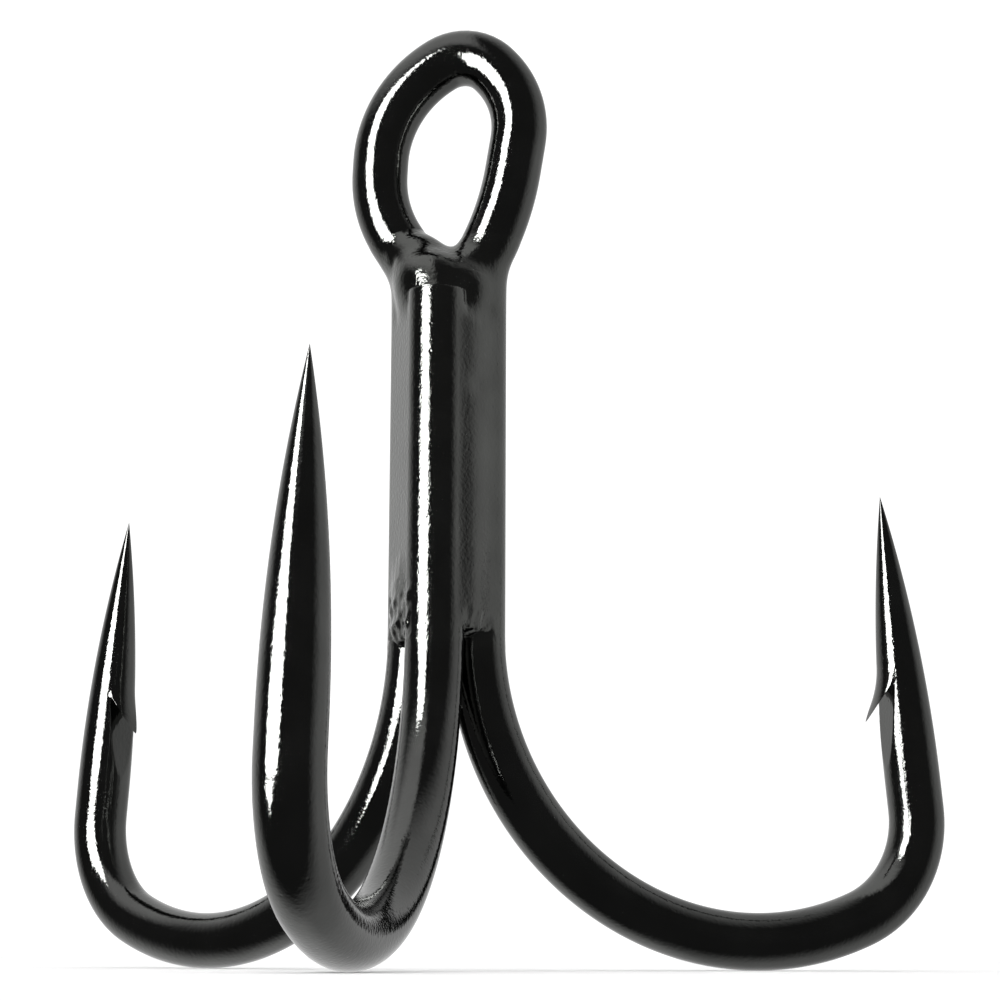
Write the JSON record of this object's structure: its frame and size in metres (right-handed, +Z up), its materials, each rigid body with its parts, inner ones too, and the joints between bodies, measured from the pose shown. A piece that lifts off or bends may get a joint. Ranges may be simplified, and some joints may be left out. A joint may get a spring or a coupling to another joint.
{
  "type": "treble hook",
  "caption": "Treble fishing hook: barbed needle points on round bends, a short brazed shank and a closed eye, in glossy black plated wire.",
  "frame": {"origin": "middle of the eye's opening", "axes": "+Z up the shank towards the crown of the eye, +Y along the hole of the eye, and the single hook points towards -Y"},
  "size_m": [0.0582, 0.0508, 0.0585],
  "materials": {
    "plated_wire": "polished",
    "plated_braze": "polished"
  },
  "bodies": {
    "root": {"double_hook": "plated_wire", "single_hook": "plated_wire", "braze_core": "plated_braze", "braze_fillet_left": "plated_braze", "braze_fillet_right": "plated_braze", "braze_fillet_back": "plated_braze", "eye_web": "plated_braze"}
  },
  "joints": []
}
